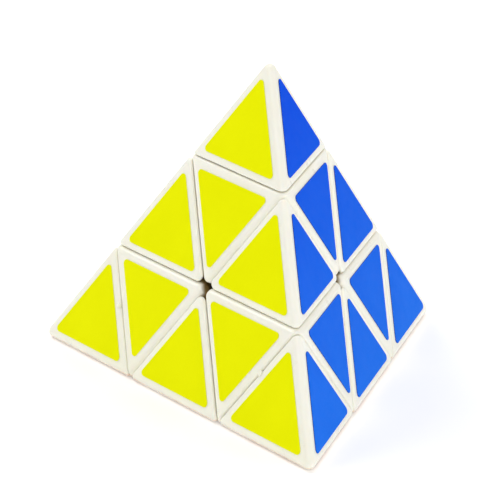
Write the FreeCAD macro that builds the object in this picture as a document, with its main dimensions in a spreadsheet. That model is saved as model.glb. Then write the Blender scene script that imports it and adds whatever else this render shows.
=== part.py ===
"""A three-layer pyramid twisty puzzle, in millimetres.

The puzzle is a regular tetrahedron cut into a lattice of small cells. Ten cells are tetrahedra
(four tips and six edge blocks), four are octahedra (the corner blocks), and the upside-down
tetrahedron left in the middle holds the mechanism. The tips are a little larger than their cells,
and the corner blocks end lower to make room for them. The origin is the centre of the core, where
the four turning axes meet, and +Z runs through the top vertex.
"""

import FreeCAD
import Part
import Sketcher
import math
import os
from FreeCAD import Placement, Rotation, Vector

os.makedirs("parts", exist_ok=True)
doc = FreeCAD.newDocument("PyramidPuzzle")

# ---------------------------------------------------------------- driving dimensions

SIZES = [
    ("edge_length", 98.0, "sharp edge of the whole pyramid"),
    ("clearance", 0.15, "each block's share of the gap at a seam"),
    ("wall", 1.8, "wall of the hollow blocks"),
    ("tip_ridge_round", 1.5, "edge radius along the pyramid's ridges, on a tip"),
    ("tip_seam_round", 0.45, "edge radius at a tip's base"),
    ("edge_ridge_round", 1.3, "edge radius along the pyramid's ridges, on an edge block"),
    ("edge_seam_round", 0.65, "edge radius at an edge block's seams"),
    ("edge_inner_round", 1.45, "edge radius of the edge block's hidden inner edge, which rounds its points"),
    ("corner_round", 1.8, "edge radius of a corner block's layer seams"),
    ("corner_top_round", 0.45, "edge radius of a corner block's top, under the tip"),
    ("tip_drop", 1.15, "how far the tip's base lies below its lattice plane, which makes the tips larger"),
    ("star_trim", 1.3, "distance from a face's middle at which a corner block's point stops"),
    ("sticker_side", 24.35, "side of a sticker before its corners are rounded"),
    ("sticker_round", 0.9, "corner radius of a sticker"),
    ("sticker_thickness", 0.18, "thickness of a sticker"),
    ("tip_sticker_shift", 1.41, "a tip's sticker, from its cell's middle towards the face's middle"),
    ("edge_sticker_shift", 0.53, "an edge block's sticker, towards the face's middle"),
    ("corner_sticker_shift", 0.92, "a corner block's sticker, towards the face's middle"),
    ("ball_radius", 9.5, "core ball"),
    ("ball_flat", 8.0, "height of the core's flats from its centre"),
    ("ball_flat_radius", 7.0, "radius of the cut that makes a flat"),
    ("hole_depth_end", 2.5, "distance from the centre at which a screw hole stops"),
    ("foot_inside", 9.9, "inside radius of an edge block's flange"),
    ("foot_outside", 14.0, "outside radius of the flange"),
    ("foot_spread", 68.0, "degrees from both turning axes that the flange reaches"),
    ("foot_split", 19.0, "radius at which an edge block divides into shell and foot"),
    ("tenon_width", 3.2, "tenon that joins foot and shell"),
    ("tenon_length", 10.0, "tenon's length"),
    ("tenon_start", 17.0, "height at which the tenon starts, inside the foot"),
    ("tenon_end", 22.0, "height of the tenon's end, inside the shell"),
    ("capture_radius", 14.25, "hollow in the corner blocks that holds the flanges in"),
    ("hub_radius", 6.0, "hub of a corner block"),
    ("hub_start", 8.15, "height of the hub's foot, just clear of the core's flat"),
    ("hub_bore", 1.65, "bore around the screw"),
    ("well_radius", 4.0, "well that holds spring and screw head"),
    ("well_floor", 11.0, "height of the well's floor"),
    ("lip_radius", 3.6, "opening in the corner block's top plate"),
    ("lip_under", 29.9, "height of the lip's underside"),
    ("stem_radius", 3.3, "a tip's stem"),
    ("stem_bore", 2.0, "hollow of the stem"),
    ("stem_head_radius", 3.85, "snap head, wider than the lip"),
    ("stem_head_height", 1.0, "snap head's straight part"),
    ("stem_lead_radius", 3.0, "narrow end of the snap head's lead-in"),
    ("stem_end", 26.4, "height of the stem's end"),
    ("stem_play", 0.15, "play of the snap head under the lip"),
    ("stem_slot", 1.0, "width of the slots that let the stem spring"),
    ("stem_slot_top", 31.3, "height at which the slots stop"),
    ("screw_radius", 1.5, "axle screw's shank"),
    ("screw_start", 3.0, "height of the shank's end in the core"),
    ("head_under", 17.6, "height of the underside of the screw's head"),
    ("head_radius", 2.75, "screw's head"),
    ("head_height", 1.9, "height of the head"),
    ("head_round", 0.5, "edge radius of the head"),
    ("recess_width", 0.7, "cross recess"),
    ("recess_length", 3.4, "length of the recess's arms"),
    ("recess_depth", 1.0, "depth of the recess"),
    ("washer_radius", 3.4, "spring washer"),
    ("washer_hole", 1.6, "hole of the washer"),
    ("washer_thickness", 0.6, "thickness of the washer"),
    ("spring_radius", 2.9, "mean radius of the spring"),
    ("wire_radius", 0.35, "radius of the spring's wire"),
    ("spring_end_gap", 0.05, "room at either end of the spring"),
    ("spring_turns", 5.0, "turns of the spring"),
]

sheet = doc.addObject("Spreadsheet::Sheet", "Sizes")
for row, (alias, value, note) in enumerate(SIZES, start=1):
    sheet.set(f"A{row}", alias)
    sheet.set(f"B{row}", str(value))
    sheet.set(f"C{row}", note)
    sheet.setAlias(f"B{row}", alias)
doc.recompute()


def size(alias):
    return float(sheet.get(alias))


# ---------------------------------------------------------------- the lattice

PITCH = "(Sizes.edge_length / 3)"
pitch = size("edge_length") / 3
cell_height = pitch * math.sqrt(2 / 3)

# heights on a turning axis, in cells above the centre
FACE_CELLS = 0.75
TIP_PLANE_CELLS = 1.25
TIP_MIDDLE_CELLS = 1.5

# the plane between a tip and its corner block, and the tip's edge before the gap is taken off
TIP_PLANE = f"({TIP_PLANE_CELLS} * {PITCH} * sqrt(2 / 3) - Sizes.tip_drop)"
TIP_EDGE = f"({PITCH} + Sizes.tip_drop * sqrt(3 / 2))"
tip_plane = TIP_PLANE_CELLS * cell_height - size("tip_drop")
face_distance = FACE_CELLS * cell_height - size("clearance")
tip_centre = Vector(0, 0, TIP_MIDDLE_CELLS * cell_height - size("tip_drop") * 3 / 4)
corner_centre = Vector(0, 0, FACE_CELLS * cell_height)
edge_centre = Vector(0, 0, pitch / math.sqrt(2))

# the angle between a turning axis and the middle of an edge block beside it
HALF_ANGLE = math.degrees(math.acos(1 / math.sqrt(3)))

face_radius = size("edge_length") / math.sqrt(3)
AXES = {
    "top": Vector(0, 0, 1),
    "left": Vector(-math.sqrt(2 / 3), -math.sqrt(2) / 3, -1 / 3),
    "right": Vector(math.sqrt(2 / 3), -math.sqrt(2) / 3, -1 / 3),
    "back": Vector(0, 2 * math.sqrt(2) / 3, -1 / 3),
}
EDGES = [
    ("top", "left"),
    ("top", "right"),
    ("top", "back"),
    ("left", "right"),
    ("right", "back"),
    ("left", "back"),
]
# each face is named by its colour and keyed by the vertex that it lies opposite
FACE_COLOURS = {"back": "yellow", "left": "blue", "right": "green", "top": "red"}


def unit(vector):
    return vector / vector.Length


def frame_rotation(x_axis, z_axis):
    """The rotation whose x and z axes lie along two perpendicular vectors."""
    return Rotation(x_axis, z_axis.cross(x_axis), z_axis, "ZXY")


def edge_frame(one, other):
    """Z out through the middle of the edge block between two vertices, X towards the first of them."""
    middle = unit(AXES[one] + AXES[other])
    return frame_rotation(unit(AXES[one] - AXES[other]), middle)


def corner_frame(corner):
    """The turn that carries the top vertex to another one and leaves the whole lattice in place."""
    if corner == "top":
        return Rotation()
    return Rotation(unit(AXES["top"] + AXES[corner]), 180)


# the cells stand on an edge in their own frame, and this leans them so that the top axis is +Z
LEAN = edge_frame("top", "back")


# ---------------------------------------------------------------- building blocks


def bind(thing, **expressions):
    for name, expression in expressions.items():
        thing.setExpression(name, expression)
    return thing


def wedge(name, edge, height_from, height_to, flat_axes, turn):
    """A wedge along a cell's upright axis that narrows to nothing along flat_axes."""
    half = f"({edge}) / 2"
    thing = doc.addObject("Part::Wedge", name)
    bind(thing, Xmin=f"-{half}", Xmax=half, Zmin=f"-{half}", Zmax=half, Ymax=height_to)
    if height_from:
        bind(thing, Ymin=height_from)
    else:
        thing.Ymin = 0
    for axis in "XZ":
        if axis in flat_axes:
            setattr(thing, f"{axis}2min", 0)
            setattr(thing, f"{axis}2max", 0)
        else:
            bind(thing, **{f"{axis}2min": f"-{half}", f"{axis}2max": half})
    thing.Placement = Placement(Vector(), Rotation(Vector(1, 0, 0), turn))
    return thing


def tetra_cell(name, gap, centre, rotation, full_edge=PITCH):
    """A regular tetrahedron, one lattice cell less the gap all round, that stands on an edge."""
    edge = f"{full_edge} - 2 * sqrt(6) * ({gap})"
    half_height = f"({edge}) / sqrt(8)"
    upper = wedge(f"{name}_upper", edge, f"-{half_height}", half_height, "Z", 90)
    lower = wedge(f"{name}_lower", edge, f"-{half_height}", half_height, "X", -90)
    cell = doc.addObject("Part::Common", name)
    cell.Base = upper
    cell.Tool = lower
    cell.Placement = Placement(centre, rotation)
    return cell


def octa_cell(name, gap, centre, rotation):
    """A regular octahedron, one lattice cell less the gap all round, made of two square pyramids."""
    edge = f"{PITCH} - sqrt(6) * ({gap})"
    height = f"({edge}) / sqrt(2)"
    halves = [
        wedge(f"{name}_{side}", edge, None, height, "XZ", turn)
        for side, turn in (("upper", 90), ("lower", -90))
    ]
    cell = fuse(name, halves)
    cell.Placement = Placement(centre, rotation)
    return cell


def rounded(name, solid, radius_of):
    """The solid with its edges filleted by what radius_of gives for each, or left sharp for None."""
    doc.recompute()
    fillet = doc.addObject("Part::Fillet", name)
    fillet.Base = solid
    fillet.Edges = [
        (number, radius_of(edge), radius_of(edge))
        for number, edge in enumerate(solid.Shape.Edges, start=1)
        if radius_of(edge)
    ]
    return fillet


def rounded_top(name, solid, height, radius):
    """The solid with only the edges at the height of its flat top filleted."""
    return rounded(name, solid, lambda edge: radius if edge.BoundBox.ZMin > height - 0.01 else None)


def fuse(name, shapes):
    thing = doc.addObject("Part::MultiFuse", name)
    thing.Shapes = shapes
    return thing


def cut(name, base, tools):
    thing = doc.addObject("Part::Cut", name)
    thing.Base = base
    thing.Tool = tools[0] if len(tools) == 1 else fuse(f"{name}_tools", tools)
    return thing


def loose_cylinder(name, radius, height):
    """A cylinder with no place of its own yet."""
    return bind(doc.addObject("Part::Cylinder", name), Radius=radius, Height=height)


def cylinder(name, radius, bottom, top):
    """A cylinder on the Z axis between two heights, each an expression."""
    thing = loose_cylinder(name, radius, f"({top}) - ({bottom})")
    thing.setExpression(".Placement.Base.z", bottom)
    return thing


def box(name, width, length, bottom, top):
    """A box centred on the Z axis between two heights, each an expression."""
    thing = doc.addObject("Part::Box", name)
    bind(thing, Width=length, Length=width, Height=f"({top}) - ({bottom})")
    thing.setExpression(".Placement.Base.x", f"-({width}) / 2")
    thing.setExpression(".Placement.Base.y", f"-({length}) / 2")
    thing.setExpression(".Placement.Base.z", bottom)
    return thing


def above(name, height):
    """A block that covers everything above a height."""
    far = f"2 * {PITCH}"
    return box(name, far, far, height, far)


def sphere(name, radius):
    return bind(doc.addObject("Part::Sphere", name), Radius=radius)


sub_parts = []


def finish(thing, label, placement=Placement()):
    """Name a finished sub-part and put it in its place."""
    thing.Label = label
    thing.Placement = placement
    sub_parts.append(thing)
    return thing


def group(label, members):
    """Identical fasteners as one sub-part of separate solids."""
    thing = doc.addObject("Part::Compound", f"{label}_group")
    thing.Links = members
    return finish(thing, label)


# ---------------------------------------------------------------- the core and its fasteners


def core():
    """A ball with a flat and a screw hole on each turning axis."""
    tools = []
    for corner in AXES:
        turn = corner_frame(corner)
        flat = loose_cylinder(f"core_flat_{corner}", "Sizes.ball_flat_radius", "Sizes.ball_radius")
        hole = loose_cylinder(f"core_hole_{corner}", "Sizes.screw_radius", "Sizes.ball_radius")
        for tool, start in ((flat, "ball_flat"), (hole, "hole_depth_end")):
            tool.Placement = Placement(AXES[corner] * size(start), turn)
            tools.append(tool)
    ball = sphere("core_ball", "Sizes.ball_radius")
    return finish(cut("core_cut", ball, tools), "core")


def axle_screw(corner):
    """A pan-head screw with a cross recess, on the Z axis and then turned to its own."""
    name = f"screw_{corner}"
    head_top = "Sizes.head_under + Sizes.head_height"
    shank = cylinder(f"{name}_shank", "Sizes.screw_radius", "Sizes.screw_start", "Sizes.head_under")
    head = cylinder(f"{name}_head", "Sizes.head_radius", "Sizes.head_under", head_top)
    top = size("head_under") + size("head_height")
    pan = rounded_top(f"{name}_pan", head, top, size("head_round"))
    floor = f"{head_top} - Sizes.recess_depth"
    arms = [
        box(f"{name}_arm_x", "Sizes.recess_length", "Sizes.recess_width", floor, head_top),
        box(f"{name}_arm_y", "Sizes.recess_width", "Sizes.recess_length", floor, head_top),
    ]
    screw = cut(name, fuse(f"{name}_blank", [shank, pan]), arms)
    screw.Placement = Placement(Vector(), corner_frame(corner))
    return screw


def washer(corner):
    name = f"washer_{corner}"
    under = "Sizes.head_under - Sizes.washer_thickness"
    disc = cylinder(f"{name}_disc", "Sizes.washer_radius", under, "Sizes.head_under")
    hole = cylinder(f"{name}_hole", "Sizes.washer_hole", under, "Sizes.head_under")
    ring = cut(name, disc, [hole])
    ring.Placement = Placement(Vector(), corner_frame(corner))
    return ring


def spring(corner):
    """A compression spring between the well's floor and the washer."""
    name = f"spring_{corner}"
    end_inset = "(Sizes.spring_end_gap + Sizes.wire_radius)"
    start = f"Sizes.well_floor + {end_inset}"
    stop = f"Sizes.head_under - Sizes.washer_thickness - {end_inset}"
    height = f"(({stop}) - ({start}))"
    helix = doc.addObject("Part::Helix", f"{name}_line")
    bind(helix, Radius="Sizes.spring_radius", Height=height, Pitch=f"{height} / Sizes.spring_turns")
    wire = doc.addObject("Part::Circle", f"{name}_section")
    bind(wire, Radius="Sizes.wire_radius")
    wire.Placement = Placement(Vector(size("spring_radius"), 0, 0), Rotation(Vector(1, 0, 0), 90))
    coil = doc.addObject("Part::Sweep", name)
    coil.Sections = [wire]
    coil.Spine = (helix, ["Edge1"])
    coil.Solid = True
    coil.Frenet = True
    turn = corner_frame(corner)
    rise = size("well_floor") + size("spring_end_gap") + size("wire_radius")
    coil.Placement = Placement(AXES[corner] * rise, turn)
    return coil


# ---------------------------------------------------------------- the blocks


def star_cutter(name, opposite):
    """A block that cuts the top corner block's point off near the middle of one of its faces."""
    normal = -AXES[opposite]
    outwards = unit(AXES["top"] - normal * AXES["top"].dot(normal))
    turn = frame_rotation(normal, -outwards)
    cutter = bind(doc.addObject("Part::Box", name), Length=PITCH, Width=PITCH, Height=PITCH)
    start = normal * face_distance + outwards * size("star_trim")
    cutter.Placement = Placement(start - turn.multVec(Vector(pitch / 2, pitch / 2, 0)), turn)
    return cutter


def corner_block(corner):
    """A hollow octahedron, cut off under the tip, with a hub and a lipped well up its middle."""
    name = f"corner_{corner}"
    cell = octa_cell(f"{name}_cell", "Sizes.clearance", corner_centre, LEAN)
    smooth = rounded(f"{name}_smooth", cell, lambda edge: size("corner_round"))
    trims = [star_cutter(f"{name}_trim_{side}", side) for side in AXES if side != "top"]
    top = f"{TIP_PLANE} - Sizes.clearance"
    trims.append(above(f"{name}_trim_top", top))
    trimmed = cut(f"{name}_trimmed", smooth, trims)
    top_height = tip_plane - size("clearance")
    block = rounded_top(f"{name}_outside", trimmed, top_height, size("corner_top_round"))
    wall_gap = "Sizes.clearance + Sizes.wall"
    hollow_cell = octa_cell(f"{name}_hollow_cell", wall_gap, corner_centre, LEAN)
    floor = sphere(f"{name}_floor", "Sizes.capture_radius + Sizes.wall")
    ceiling = above(f"{name}_ceiling", f"{top} - Sizes.wall")
    hollow = cut(f"{name}_hollow", hollow_cell, [floor, ceiling])
    room = sphere(f"{name}_room", "Sizes.capture_radius")
    shell = cut(f"{name}_shell", block, [room, hollow])
    hub = cylinder(f"{name}_hub", "Sizes.hub_radius", "Sizes.hub_start", f"{top} - Sizes.wall / 2")
    bore = cylinder(f"{name}_bore", "Sizes.hub_bore", "Sizes.ball_flat", "Sizes.well_floor")
    well = cylinder(f"{name}_well", "Sizes.well_radius", "Sizes.well_floor", "Sizes.lip_under")
    lip = cylinder(f"{name}_lip", "Sizes.lip_radius", "Sizes.lip_under", TIP_PLANE)
    thing = cut(f"{name}_cut", fuse(f"{name}_blank", [shell, hub]), [bore, well, lip])
    return finish(thing, f"corner_block_{corner}", Placement(Vector(), corner_frame(corner)))


def tip(corner):
    """A hollow tetrahedron on a split stem that snaps into the corner block."""
    name = f"tip_{corner}"
    base = tip_plane + size("clearance")
    cell = tetra_cell(f"{name}_cell", "Sizes.clearance", tip_centre, LEAN, TIP_EDGE)

    def radius_of(edge):
        at_base = edge.CenterOfMass.z < base + 0.01
        return size("tip_seam_round" if at_base else "tip_ridge_round")

    block = rounded(f"{name}_outside", cell, radius_of)
    wall_gap = "Sizes.clearance + Sizes.wall"
    hollow = tetra_cell(f"{name}_hollow", wall_gap, tip_centre, LEAN, TIP_EDGE)
    head_top = "Sizes.lip_under - Sizes.stem_play"
    head_low = f"{head_top} - Sizes.stem_head_height"
    base_middle = f"{TIP_PLANE} + Sizes.clearance + Sizes.wall / 2"
    inside = f"{base_middle} + Sizes.wall"
    neck = cylinder(f"{name}_neck", "Sizes.stem_radius", head_top, base_middle)
    head = cylinder(f"{name}_head", "Sizes.stem_head_radius", head_low, head_top)
    lead = doc.addObject("Part::Cone", f"{name}_lead")
    bind(
        lead,
        Radius1="Sizes.stem_lead_radius",
        Radius2="Sizes.stem_head_radius",
        Height=f"{head_low} - Sizes.stem_end",
    )
    lead.setExpression(".Placement.Base.z", "Sizes.stem_end")
    bore = cylinder(f"{name}_bore", "Sizes.stem_bore", "Sizes.stem_end", inside)
    across = "2 * Sizes.well_radius"
    slots = [
        box(f"{name}_slot_x", across, "Sizes.stem_slot", "Sizes.stem_end", "Sizes.stem_slot_top"),
        box(f"{name}_slot_y", "Sizes.stem_slot", across, "Sizes.stem_end", "Sizes.stem_slot_top"),
    ]
    blank = fuse(f"{name}_blank", [block, neck, head, lead])
    thing = cut(f"{name}_cut", blank, [hollow, bore] + slots)
    return finish(thing, f"tip_{corner}", Placement(Vector(), corner_frame(corner)))


def edge_outside(name):
    """The rounded tetrahedron of an edge block, with its ridge on top."""
    cell = tetra_cell(f"{name}_cell", "Sizes.clearance", edge_centre, Rotation())

    def radius_of(edge):
        height = edge.CenterOfMass.z - edge_centre.z
        if abs(height) < pitch / 4:
            return size("edge_seam_round")
        return size("edge_ridge_round" if height > 0 else "edge_inner_round")

    return rounded(f"{name}_outside", cell, radius_of)


def edge_shell(one, other):
    """The part of an edge block that shows, open underneath where its foot plugs in."""
    name = f"edge_shell_{one}_{other}"
    below = sphere(f"{name}_below", "Sizes.foot_split")
    hollow = tetra_cell(f"{name}_hollow", "Sizes.clearance + Sizes.wall", edge_centre, Rotation())
    thing = cut(f"{name}_cut", edge_outside(name), [below, hollow])
    return finish(thing, name, Placement(Vector(), edge_frame(one, other)))


def edge_foot(one, other):
    """The inner part of an edge block: a spherical flange under the corner blocks, and a tenon."""
    name = f"edge_foot_{one}_{other}"
    outside = sphere(f"{name}_sphere", "Sizes.foot_outside")
    layer = cut(f"{name}_layer", outside, [sphere(f"{name}_inside", "Sizes.foot_inside")])
    cones = []
    for side, lean in (("one", HALF_ANGLE), ("other", -HALF_ANGLE)):
        cone = doc.addObject("Part::Cone", f"{name}_cone_{side}")
        reach = "(Sizes.foot_outside + 1)"
        cone.Radius1 = 0
        bind(cone, Radius2=f"{reach} * tan(Sizes.foot_spread)", Height=reach)
        cone.Placement = Placement(Vector(), Rotation(Vector(0, 1, 0), lean))
        cones.append(cone)
    flange = doc.addObject("Part::MultiCommon", f"{name}_flange")
    flange.Shapes = [layer] + cones
    wedge_part = doc.addObject("Part::Common", f"{name}_wedge")
    wedge_part.Base = edge_outside(name)
    wedge_part.Tool = sphere(f"{name}_below", "Sizes.foot_split")
    tenon = box(
        f"{name}_tenon",
        "Sizes.tenon_width",
        "Sizes.tenon_length",
        "Sizes.tenon_start",
        "Sizes.tenon_end",
    )
    thing = fuse(f"{name}_fuse", [flange, wedge_part, tenon])
    return finish(thing, name, Placement(Vector(), edge_frame(one, other)))


# ---------------------------------------------------------------- the stickers


def origin_plane(body, role):
    return next(f for f in body.Origin.OriginFeatures if f.Role == role)


def triangle_sketch(body, name):
    """An equilateral triangle about the origin with one corner on +Y."""
    sketch = body.newObject("Sketcher::SketchObject", name)
    sketch.AttachmentSupport = (origin_plane(body, "XY_Plane"), [""])
    sketch.MapMode = "FlatFace"
    reach = size("sticker_side") / math.sqrt(3)
    corners = [
        Vector(reach * math.cos(math.radians(angle)), reach * math.sin(math.radians(angle)), 0)
        for angle in (90, 210, 330)
    ]
    for start, stop in zip(corners, corners[1:] + corners[:1]):
        sketch.addGeometry(Part.LineSegment(start, stop), False)
    circle = sketch.addGeometry(Part.Circle(Vector(), Vector(0, 0, 1), reach), True)
    origin_point = (-1, 1)
    y_axis = -2
    for line in range(3):
        sketch.addConstraint(Sketcher.Constraint("Coincident", line, 2, (line + 1) % 3, 1))
        sketch.addConstraint(Sketcher.Constraint("PointOnObject", line, 1, circle))
    sketch.addConstraint(Sketcher.Constraint("Coincident", circle, 3, *origin_point))
    sketch.addConstraint(Sketcher.Constraint("PointOnObject", 0, 1, y_axis))
    sketch.addConstraint(Sketcher.Constraint("Equal", 0, 1))
    sketch.addConstraint(Sketcher.Constraint("Equal", 1, 2))
    radius = sketch.addConstraint(Sketcher.Constraint("Radius", circle, reach))
    sketch.setExpression(f"Constraints[{radius}]", "Sizes.sticker_side / sqrt(3)")
    return sketch


def sticker(kind, place, pointing, distance, normal, direction):
    """A thin rounded triangle, its centre at a distance from the face's middle along a direction."""
    body = doc.addObject("PartDesign::Body", f"body_{kind}")
    sketch = triangle_sketch(body, f"outline_{kind}")
    pad = body.newObject("PartDesign::Pad", f"pad_{kind}")
    pad.Profile = sketch
    pad.setExpression("Length", "Sizes.sticker_thickness")
    doc.recompute()
    upright = [
        f"Edge{number}"
        for number, edge in enumerate(pad.Shape.Edges, start=1)
        if abs(edge.tangentAt(edge.FirstParameter).z) > 0.9
    ]
    corners = body.newObject("PartDesign::Fillet", f"corners_{kind}")
    corners.Base = (pad, upright)
    corners.setExpression("Radius", "Sizes.sticker_round")
    body.Tip = corners
    point = direction * pointing
    rotation = Rotation(point.cross(normal), point, normal, "ZXY")
    position = normal * face_distance + direction * distance
    return finish(body, f"sticker_{kind}_{place}", Placement(position, rotation))


def face_stickers(opposite):
    """The nine stickers of the face that lies opposite a vertex."""
    colour = FACE_COLOURS[opposite]
    normal = -AXES[opposite]
    corners = [corner for corner in AXES if corner != opposite]
    inwards = {corner: unit(AXES[corner] - normal * AXES[corner].dot(normal)) for corner in corners}
    for corner in corners:
        outwards = inwards[corner]
        tip_distance = face_radius * 2 / 3 - size("tip_sticker_shift")
        sticker(colour, f"tip_{corner}", 1, tip_distance, normal, outwards)
        corner_distance = face_radius / 3 - size("corner_sticker_shift")
        sticker(colour, f"corner_{corner}", -1, corner_distance, normal, outwards)
    for one, other in EDGES:
        if opposite in (one, other):
            continue
        away = next(corner for corner in corners if corner not in (one, other))
        edge_distance = face_radius / 3 - size("edge_sticker_shift")
        sticker(colour, f"edge_{one}_{other}", -1, edge_distance, normal, -inwards[away])


# ---------------------------------------------------------------- the assembly

core()
group("axle_screws", [axle_screw(corner) for corner in AXES])
group("spring_washers", [washer(corner) for corner in AXES])
group("tension_springs", [spring(corner) for corner in AXES])
for corner_name in AXES:
    corner_block(corner_name)
    tip(corner_name)
for edge_ends in EDGES:
    edge_shell(*edge_ends)
    edge_foot(*edge_ends)
for opposite_corner in FACE_COLOURS:
    face_stickers(opposite_corner)

doc.recompute()

failed = [thing.Name for thing in doc.Objects if {"Invalid", "Error"} & set(thing.State)]
if failed:
    raise RuntimeError(f"these objects failed: {failed}")
for thing in sub_parts:
    if thing.Shape.isNull() or not thing.Shape.isValid():
        raise RuntimeError(f"{thing.Label} has no valid shape")
for thing in sub_parts:
    thing.Shape.exportStep(f"parts/{thing.Label}.step")
print(f"{len(sub_parts)} sub-parts written")
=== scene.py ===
import math

import bmesh
import bpy
from mathutils import Matrix, Vector, noise


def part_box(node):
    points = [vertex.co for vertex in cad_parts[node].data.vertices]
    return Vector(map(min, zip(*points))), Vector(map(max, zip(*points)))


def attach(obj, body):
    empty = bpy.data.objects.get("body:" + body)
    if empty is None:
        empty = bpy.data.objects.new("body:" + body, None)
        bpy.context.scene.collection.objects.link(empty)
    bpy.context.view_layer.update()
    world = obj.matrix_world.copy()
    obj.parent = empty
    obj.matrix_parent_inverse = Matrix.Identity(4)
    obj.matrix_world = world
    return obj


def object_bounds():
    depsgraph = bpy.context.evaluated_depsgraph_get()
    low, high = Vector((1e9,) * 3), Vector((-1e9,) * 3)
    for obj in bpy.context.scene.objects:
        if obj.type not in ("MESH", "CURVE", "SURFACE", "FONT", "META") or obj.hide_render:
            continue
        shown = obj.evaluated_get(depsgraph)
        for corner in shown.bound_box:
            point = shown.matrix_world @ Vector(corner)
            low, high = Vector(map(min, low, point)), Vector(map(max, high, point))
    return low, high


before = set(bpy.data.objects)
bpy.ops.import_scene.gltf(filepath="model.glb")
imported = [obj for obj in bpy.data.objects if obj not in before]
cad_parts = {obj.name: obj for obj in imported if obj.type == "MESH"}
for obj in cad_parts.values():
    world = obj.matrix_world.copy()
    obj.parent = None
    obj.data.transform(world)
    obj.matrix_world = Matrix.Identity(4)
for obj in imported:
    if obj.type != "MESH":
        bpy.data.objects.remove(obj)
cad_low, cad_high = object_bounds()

# The looks of the pyramid twisty puzzle: a procedural material for each finish, three small moulding
# marks, and a pale floor under soft lamps. Blender's lengths are metres. The details' sizes are written
# in millimetres, and MM turns them into metres.

MM = 0.001
WHITE = (1.0, 1.0, 1.0, 1.0)
STICKER_THICKNESS = 0.18

# How far each plastic face lies from the core's centre. The base's stickers are the lowest surface.
PLASTIC_FACE = -cad_low.z / MM - STICKER_THICKNESS

# Directions from the centre of the core. A face's outward normal is opposite the vertex it leaves out.
VERTEX_AXES = {
    "top": Vector((0, 0, 1)),
    "left": Vector((-math.sqrt(6), -math.sqrt(2), -1)) / 3,
    "right": Vector((math.sqrt(6), -math.sqrt(2), -1)) / 3,
    "back": Vector((0, math.sqrt(8), -1)) / 3,
}
FACE_NORMALS = {
    "yellow": -VERTEX_AXES["back"],
    "blue": -VERTEX_AXES["left"],
    "green": -VERTEX_AXES["right"],
    "red": -VERTEX_AXES["top"],
}


def add_object(name, data):
    made = bpy.data.objects.new(name, data)
    bpy.context.scene.collection.objects.link(made)
    return made


# ---- Node helpers -------------------------------------------------------------------------------

# The noise textures give values spread evenly about this one.
NOISE_MIDDLE = 0.5


class Nodes:
    """A short way to write a material's nodes. A value can be a number, a tuple or another node's output."""

    def __init__(self, name):
        self.material = bpy.data.materials.new(name)
        self.material.use_nodes = True
        self.tree = self.material.node_tree
        self.tree.nodes.clear()
        output = self.add("ShaderNodeOutputMaterial")
        self.shader = self.add("ShaderNodeBsdfPrincipled")
        self.tree.links.new(self.shader.outputs["BSDF"], output.inputs["Surface"])
        self.place = self.add("ShaderNodeTexCoord").outputs["Object"]

    def add(self, kind, **settings):
        node = self.tree.nodes.new(kind)
        for key, value in settings.items():
            setattr(node, key, value)
        return node

    def put(self, socket, value):
        if isinstance(value, bpy.types.NodeSocket):
            self.tree.links.new(value, socket)
        else:
            socket.default_value = value

    def set(self, **values):
        """Set the shader's inputs. An underscore stands for a space in an input's name."""
        for key, value in values.items():
            self.put(self.shader.inputs[key.replace("_", " ")], value)

    def maths(self, operation, *values):
        node = self.add("ShaderNodeMath", operation=operation)
        for socket, value in zip(node.inputs, values):
            self.put(socket, value)
        return node.outputs["Value"]

    def along(self, direction):
        """How far the surface point lies from the centre along a direction, in millimetres."""
        node = self.add("ShaderNodeVectorMath", operation="DOT_PRODUCT")
        self.put(node.inputs[0], self.place)
        node.inputs[1].default_value = tuple(direction / MM)
        return node.outputs["Value"]

    def distance(self):
        """How far the surface point lies from the centre, in millimetres."""
        node = self.add("ShaderNodeVectorMath", operation="LENGTH")
        self.put(node.inputs[0], self.place)
        return self.maths("DIVIDE", node.outputs["Value"], MM)

    def noise(self, size, detail, shift=0.0):
        """Noise whose features are about size millimetres across. Another shift gives another pattern."""
        node = self.add("ShaderNodeTexNoise", noise_dimensions="4D")
        self.put(node.inputs["Vector"], self.place)
        node.inputs["W"].default_value = shift
        node.inputs["Scale"].default_value = 1 / (size * MM)
        node.inputs["Detail"].default_value = detail
        return node.outputs["Fac"]

    def ramp(self, value, start, end, low=0.0, high=1.0, smooth=True):
        """Low up to start, high beyond end, and a smooth or a straight change between them."""
        node = self.add("ShaderNodeMapRange", interpolation_type="SMOOTHSTEP" if smooth else "LINEAR")
        names = ("Value", "From Min", "From Max", "To Min", "To Max")
        for name, number in zip(names, (value, start, end, low, high)):
            self.put(node.inputs[name], number)
        return node.outputs["Result"]

    def patches(self, size, detail, spread, shift=0.0, low=0.0, high=1.0):
        """Patches of low and high, about size millimetres across. A smaller spread makes them crisper."""
        value = self.noise(size, detail, shift)
        return self.ramp(value, NOISE_MIDDLE - spread, NOISE_MIDDLE + spread, low, high)

    def mix(self, share, first, second):
        node = self.add("ShaderNodeMix", data_type="RGBA")
        self.put(node.inputs["Factor"], share)
        self.put(node.inputs["A"], first)
        self.put(node.inputs["B"], second)
        return node.outputs["Result"]

    def bump(self, height, distance, strength, below=None):
        """A bump of a distance in millimetres, on top of the one below it if there is one."""
        node = self.add("ShaderNodeBump")
        node.inputs["Strength"].default_value = strength
        node.inputs["Distance"].default_value = distance * MM
        self.put(node.inputs["Height"], height)
        if below is not None:
            self.put(node.inputs["Normal"], below)
        return node.outputs["Normal"]


def linear(red, green, blue):
    """A colour given as 0 to 255 on a screen, for a shader."""
    def channel(value):
        value /= 255
        return value / 12.92 if value <= 0.04045 else ((value + 0.055) / 1.055) ** 2.4
    return (channel(red), channel(green), channel(blue), 1.0)


# ---- Materials ----------------------------------------------------------------------------------

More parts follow.
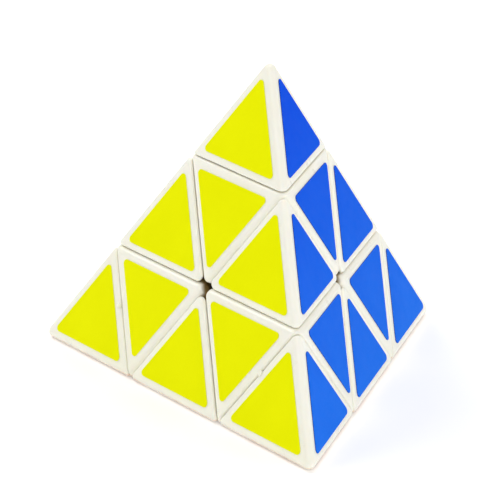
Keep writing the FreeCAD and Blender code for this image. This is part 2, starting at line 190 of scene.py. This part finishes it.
# Where the plastic's tints start and end, in millimetres. Painted seam shade, partly grime, lies at depths
# under the nearest face, painted shade in the star holes only near the face's middle, and painted reddish
# shade on the bottom rim at heights above the base.
SEAM_SHADE_DEPTHS = (0.7, 2.0)
STAR_HOLE_SHADE_DEPTHS = (0.9, 2.2)
STAR_HOLE_SHADE_OFF_MIDDLE = (3.2, 5.5)
RIM_SHADE_TOP = (1.1, 0.5)
RIM_SHADE_FOOT = (0.15, 0.0)
SEAM_GRIME_ROUGHNESS = 0.2

# Millimetres above the plastic between which a sticker's painted side gives way to its top: darker painted
# shade on blue, green and red, a paler painted highlight on yellow.
STICKER_EDGE = (0.10, 0.16)
# Heights on the top axis, in millimetres, over which painted shade darkens the blue towards the top vertex.
TOP_SHADE_HEIGHTS = (-22.0, 46.0)
CLOUD_SHARE = 0.6
SPECK_SHARE = 0.4

# Reflections off the matt vinyl stay faint even where a face is seen at a grazing angle.
VINYL_SPECULAR = 0.015

STEEL_SHADE = 0.8
STEEL_ROUGHNESS_RANGE = 0.14


def under_faces(n):
    """How deep a point lies under the nearest face, and how far off that face's middle, in millimetres."""
    nearest, *others = (n.along(normal) for normal in FACE_NORMALS.values())
    for reach in others:
        nearest = n.maths("MAXIMUM", nearest, reach)
    squares = (n.maths("POWER", length, 2.0) for length in (n.distance(), nearest))
    off_middle = n.maths("SQRT", n.maths("SUBTRACT", *squares))
    return n.maths("SUBTRACT", PLASTIC_FACE, nearest), off_middle


def ivory_plastic():
    """The blocks' plastic: cloudy ivory, with painted shade and grime in the seams, painted shade in the star
    holes and painted reddish shade on the bottom rim.
    """
    n = Nodes("ivory_plastic")
    depth, off_middle = under_faces(n)
    cloud = n.patches(14, detail=3, spread=0.15, shift=1.7)
    colour = n.mix(cloud, linear(250, 247, 235), linear(247, 244, 229))

    # Painted shade in the seams, darker the deeper under the face, in grimy patches that also roughen the
    # plastic.
    seams = n.ramp(depth, *SEAM_SHADE_DEPTHS)
    seam_grime_and_shade = n.maths("MULTIPLY", seams, n.patches(5, detail=4, spread=0.25, shift=4.1, low=0.45))
    colour = n.mix(seam_grime_and_shade, colour, linear(222, 212, 188))

    # Painted shade: the star holes' walls are painted brown, darker deeper down, near each face's middle.
    star_hole = n.ramp(off_middle, *STAR_HOLE_SHADE_OFF_MIDDLE, low=1.0, high=0.0)
    star_hole_shade = n.maths("MULTIPLY", n.ramp(depth, *STAR_HOLE_SHADE_DEPTHS), star_hole)
    colour = n.mix(star_hole_shade, colour, linear(150, 124, 72))

    # Painted shade and a painted reflection of the red base, in patches on the bottom rim just above the
    # base.
    base = n.along(FACE_NORMALS["red"])
    below_top = n.ramp(base, *(PLASTIC_FACE - height for height in RIM_SHADE_TOP))
    above_foot = n.ramp(base, *(PLASTIC_FACE - height for height in RIM_SHADE_FOOT), low=1.0, high=0.0)
    bottom_rim_shade = n.maths("MULTIPLY", below_top, above_foot)
    bottom_rim_shade = n.maths("MULTIPLY", bottom_rim_shade, n.patches(7, detail=4, spread=0.2, shift=5.5, low=0.35, high=0.9))
    colour = n.mix(bottom_rim_shade, colour, linear(226, 186, 160))

    polish = n.patches(3.5, detail=4, spread=0.2, shift=9.3, low=0.27, high=0.36)
    roughness = n.maths("ADD", polish, n.maths("MULTIPLY", seam_grime_and_shade, SEAM_GRIME_ROUGHNESS))
    waves = n.bump(n.noise(4.5, detail=2, shift=2.2), distance=0.03, strength=0.5)
    grain = n.bump(n.noise(0.16, detail=2, shift=6.6), distance=0.004, strength=0.6, below=waves)
    n.set(Base_Color=colour, Roughness=roughness, Normal=grain, IOR=1.5, Specular_IOR_Level=0.35)
    n.set(Subsurface_Weight=0.4, Subsurface_Radius=(1.0, 0.85, 0.65), Subsurface_Scale=0.7 * MM)
    return n.material


def vinyl(name, main, other, painted_side, face, shaded_top=None):
    """A face's stickers: a cloudy main and other colour, painted colour on their sides, and painted shade
    near the top vertex.
    """
    n = Nodes(name)
    cloud = n.maths("MULTIPLY", n.patches(9, detail=4, spread=0.2, shift=3.3), CLOUD_SHARE)
    speck = n.maths("MULTIPLY", n.patches(0.35, detail=2, spread=0.15, shift=7.7), SPECK_SHARE)
    colour = n.mix(n.maths("ADD", cloud, speck), main, other)
    if shaded_top is not None:
        # Painted shade: the blue is painted darker towards the top vertex and lighter low down.
        colour = n.mix(n.ramp(n.along(VERTEX_AXES["top"]), *TOP_SHADE_HEIGHTS, smooth=False), colour, shaded_top)
    # The stickers' sides are painted: darker as painted shade on blue, green and red, paler as a painted
    # highlight on yellow.
    edge_levels = (PLASTIC_FACE + height for height in STICKER_EDGE)
    painted_side_share = n.ramp(n.along(FACE_NORMALS[face]), *edge_levels, low=1.0, high=0.0)
    roughness = n.patches(2.5, detail=5, spread=0.2, shift=5.1, low=0.34, high=0.44)
    waves = n.bump(n.noise(6, detail=1, shift=8.8), distance=0.03, strength=0.4)
    grain = n.bump(n.noise(0.22, detail=2, shift=2.9), distance=0.003, strength=0.5, below=waves)
    n.set(Base_Color=n.mix(painted_side_share, colour, painted_side), Roughness=roughness, Normal=grain)
    n.set(IOR=1.45, Specular_IOR_Level=VINYL_SPECULAR)
    return n.material


def inner_plastic(name, light, dark):
    """The tougher, uncoloured plastic of the pieces inside."""
    n = Nodes(name)
    colour = n.mix(n.patches(6, detail=4, spread=0.2), light, dark)
    roughness = n.patches(1.5, detail=4, spread=0.2, shift=2, low=0.35, high=0.5)
    grain = n.bump(n.noise(0.3, detail=2, shift=5), distance=0.006, strength=0.6)
    n.set(Base_Color=colour, Roughness=roughness, Normal=grain)
    return n.material


def steel(name, tone, smoothest):
    n = Nodes(name)
    shade = tuple(STEEL_SHADE * value for value in tone[:3]) + (1.0,)
    colour = n.mix(n.patches(2.0, detail=4, spread=0.2), tone, shade)
    roughest = smoothest + STEEL_ROUGHNESS_RANGE
    roughness = n.patches(0.6, detail=4, spread=0.2, shift=3, low=smoothest, high=roughest)
    grain = n.bump(n.noise(0.2, detail=3, shift=5), distance=0.004, strength=0.5)
    n.set(Base_Color=colour, Roughness=roughness, Normal=grain, Metallic=1.0)
    return n.material


MATERIALS = {
    "block_plastic": ivory_plastic(),
    "foot_plastic": inner_plastic("foot_plastic_moulded", linear(205, 190, 150), linear(180, 164, 124)),
    "core_plastic": inner_plastic("core_plastic_moulded", linear(190, 172, 128), linear(166, 148, 104)),
    "sticker_yellow": vinyl("vinyl_yellow", linear(240, 243, 4), linear(236, 239, 2), linear(240, 240, 110),
                            "yellow"),
    "sticker_blue": vinyl("vinyl_blue", linear(20, 112, 236), linear(28, 119, 241), linear(6, 40, 128),
                          "blue", shaded_top=linear(0, 80, 229)),
    "sticker_green": vinyl("vinyl_green", linear(18, 158, 62), linear(24, 168, 70), linear(8, 90, 36),
                           "green"),
    "sticker_red": vinyl("vinyl_red", linear(214, 26, 30), linear(222, 34, 34), linear(130, 12, 16), "red"),
    "screw_steel": steel("steel_screws", linear(196, 198, 200), 0.25),
    "spring_steel": steel("steel_springs", linear(180, 182, 186), 0.3),
}

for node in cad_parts.values():
    for place, material in enumerate(node.data.materials):
        node.data.materials[place] = MATERIALS[material.name.split(".")[0]]

# ---- Moulding marks -----------------------------------------------------------------------------

# Height of the lumps as a share of the nub's reach, and how many there are to its radius.
NUB_LUMPINESS = 0.12
NUB_LUMP_RATE = 1.6
NUB_SUBDIVISIONS = 4


def seam_directions(face, vertex):
    """Three directions: along the seams under a vertex, across them towards it, and out of the face."""
    normal, axis = FACE_NORMALS[face], VERTEX_AXES[vertex]
    across = (axis - normal * axis.dot(normal)).normalized()
    return normal.cross(across), across, normal


def over_face(face, vertex, height, along, lift):
    """A point over a face in millimetres, at a height on a vertex's axis and a place along the seam."""
    seam, across, normal = seam_directions(face, vertex)
    axis = VERTEX_AXES[vertex]
    level = PLASTIC_FACE + lift
    reach = (height - level * axis.dot(normal)) / axis.dot(across)
    return normal * level + across * reach + seam * along


def moulding_nub(name, body, face, vertex, height, along, lift, reach, squareness):
    """A small lump of plastic left by the mould. Its reach is along the seam, across it and outwards."""
    seam, across, normal = seam_directions(face, vertex)
    middle = over_face(face, vertex, height, along, lift)
    shape = bmesh.new()
    bmesh.ops.create_icosphere(shape, subdivisions=NUB_SUBDIVISIONS, radius=1.0)
    for point in shape.verts:
        lump = 1 + NUB_LUMPINESS * noise.noise(point.co * NUB_LUMP_RATE + middle)
        x, y, z = (math.copysign(abs(v) ** squareness, v) * lump * r for v, r in zip(point.co, reach))
        point.co = (middle + seam * x + across * y + normal * z) * MM
    bmesh.ops.recalc_face_normals(shape, faces=shape.faces)
    mesh = bpy.data.meshes.new(name)
    shape.to_mesh(mesh)
    shape.free()
    mesh.shade_smooth()
    mesh.materials.append(MATERIALS["block_plastic"])
    piece = add_object(name, mesh)
    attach(piece, body)


# name, body, face, vertex, height, place along the seam, lift, reach (all in millimetres), squareness
MARKS = [
    ("gate_mark_left", "tip_left", "yellow", "left", 32.66, -1.1, 0.35, (0.62, 0.45, 0.6), 0.9),
    ("gate_mark_right", "tip_right", "yellow", "right", 32.52, 1.7, -0.1, (0.75, 0.42, 0.36), 0.5),
    ("flash_corner_left", "corner_left", "yellow", "left", 30.6, 13.7, -1.0, (0.8, 0.62, 0.7), 0.9),
]
for mark in MARKS:
    moulding_nub(*mark)

# ---- Floor and light ----------------------------------------------------------------------------

WORLD_STRENGTH = 0.25
FLOOR_TONE = (0.96, 0.96, 0.96, 1.0)
FLOOR_GLOW = 0.17
FLOOR_HALF = 6.0
FLOOR_GAP = 0.02 * MM
LAMP_DISTANCE = 1.0

floor_z = cad_low.z - FLOOR_GAP
floor_mesh = bpy.data.meshes.new("studio_floor")
floor_mesh.from_pydata(
    [(x * FLOOR_HALF, y * FLOOR_HALF, floor_z) for x, y in ((-1, -1), (1, -1), (1, 1), (-1, 1))],
    [], [(0, 1, 2, 3)])
floor = add_object("studio_floor", floor_mesh)
paper = Nodes("studio_paper")
paper.set(Base_Color=FLOOR_TONE, Roughness=0.9, Specular_IOR_Level=0.2)
paper.set(Emission_Color=WHITE, Emission_Strength=FLOOR_GLOW)
floor.data.materials.append(paper.material)

world = bpy.data.worlds.new("studio")
world.use_nodes = True
background = world.node_tree.nodes["Background"]
background.inputs["Color"].default_value = WHITE
background.inputs["Strength"].default_value = WORLD_STRENGTH
bpy.context.scene.world = world
bpy.context.scene.view_settings.view_transform = "Standard"

core_low, core_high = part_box("core")
centre = (core_low + core_high) / 2


def away(azimuth, elevation):
    """The direction from the object to a viewpoint. Azimuth 0 faces the yellow side, and 90 the right."""
    a, e = math.radians(azimuth), math.radians(elevation)
    return Vector((math.sin(a) * math.cos(e), -math.cos(a) * math.cos(e), math.sin(e)))


def softbox(name, azimuth, elevation, side, power):
    """A square lamp that faces the object."""
    lamp = bpy.data.lights.new(name, "AREA")
    lamp.shape = "SQUARE"
    lamp.size = side
    lamp.energy = power
    direction = away(azimuth, elevation)
    placed = add_object(name, lamp)
    placed.location = centre + direction * LAMP_DISTANCE
    placed.rotation_mode = "QUATERNION"
    placed.rotation_quaternion = (-direction).to_track_quat("-Z", "Y")


# name, azimuth and elevation in degrees, side in metres, power in watts
LAMPS = [
    ("front", 45, 45, 0.5, 3.55),
    ("right_low", 115, 15, 0.6, 2.45),
    ("left_low", -45, 15, 0.6, 0.6),
    ("left_high", -70, 50, 0.4, 3.45),
    ("behind", 200, 55, 0.6, 3.1),
]
for lamp_row in LAMPS:
    softbox(*lamp_row)

# ---- Camera -------------------------------------------------------------------------------------

# The photograph's viewing angle in degrees, the distance in metres, lens and sensor in millimetres.
CAMERA_AZIMUTH = 47.955
CAMERA_ELEVATION = 23.114
CAMERA_ROLL = 1.484
CAMERA_DISTANCE = 0.8059
CAMERA_LENS = 249.4
CAMERA_SENSOR = 36.0
# The point aimed at, to the right of the core's centre and above it as the camera sees it.
AIM_SIDE = -3.05 * MM
AIM_UP = 10.70 * MM

back = away(CAMERA_AZIMUTH, CAMERA_ELEVATION)
level_right = Vector((0, 0, 1)).cross(back).normalized()
level_up = back.cross(level_right)
roll = math.radians(CAMERA_ROLL)
right = level_right * math.cos(roll) + level_up * math.sin(roll)
up = level_up * math.cos(roll) - level_right * math.sin(roll)

camera_data = bpy.data.cameras.new("camera")
camera_data.lens = CAMERA_LENS
camera_data.sensor_width = CAMERA_SENSOR
camera = add_object("camera", camera_data)
facing = Matrix((right, up, back)).transposed().to_4x4()
eye = centre + right * AIM_SIDE + up * AIM_UP + back * CAMERA_DISTANCE
camera.matrix_world = Matrix.Translation(eye) @ facing
bpy.context.scene.camera = camera

# ---- Scene update -------------------------------------------------------------------------------

bpy.context.view_layer.update()
